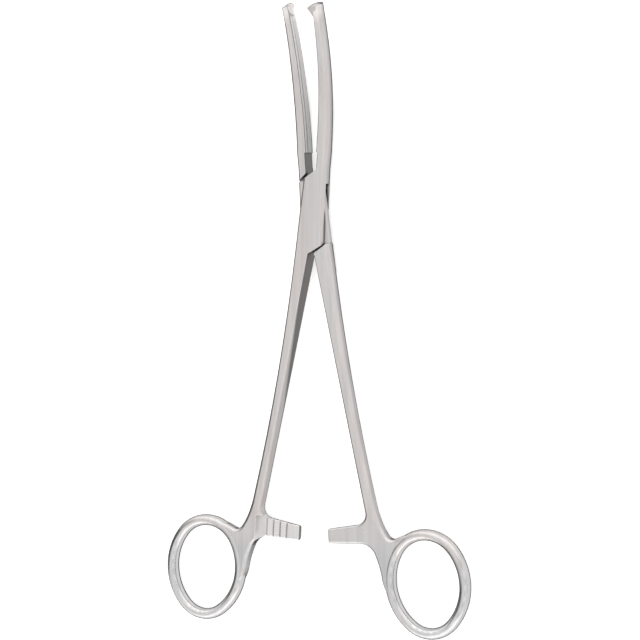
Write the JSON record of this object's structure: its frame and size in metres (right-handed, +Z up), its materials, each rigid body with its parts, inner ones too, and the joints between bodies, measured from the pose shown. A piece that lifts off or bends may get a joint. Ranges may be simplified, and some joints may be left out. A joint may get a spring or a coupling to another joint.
{
  "type": "hysterectomy forceps",
  "caption": "Long ring-handled clamping forceps with a box lock, curved grooved jaws with interlocking tip teeth, and ratchet bars between the shanks.",
  "frame": {"origin": "on the lock pin's axis, in the flat back face of the box lock, which rests on the table", "axes": "+Z up through the lock, out of the face that the jaws curve towards; +Y from the finger rings to the jaw tips; +X to the right seen from above"},
  "size_m": [0.1136, 0.2087, 0.0139],
  "materials": {
    "satin_steel": "satin brushed stainless steel, brighter on the rounded edges and finger rings",
    "pin_steel": "stainless steel, ground flush with the lock and satin brushed"
  },
  "bodies": {
    "box_half": {"box_half": "satin_steel", "pivot_pin": "pin_steel"},
    "tongue_half": {"tongue_half": "satin_steel"}
  },
  "joints": [
    {"name": "box_lock_hinge", "type": "hinge", "parent": "box_half", "child": "tongue_half", "pos_m": [0, 0, 0.0029], "axis": [0, 0, 1], "range_deg": [-7.6, 52.4]}
  ]
}
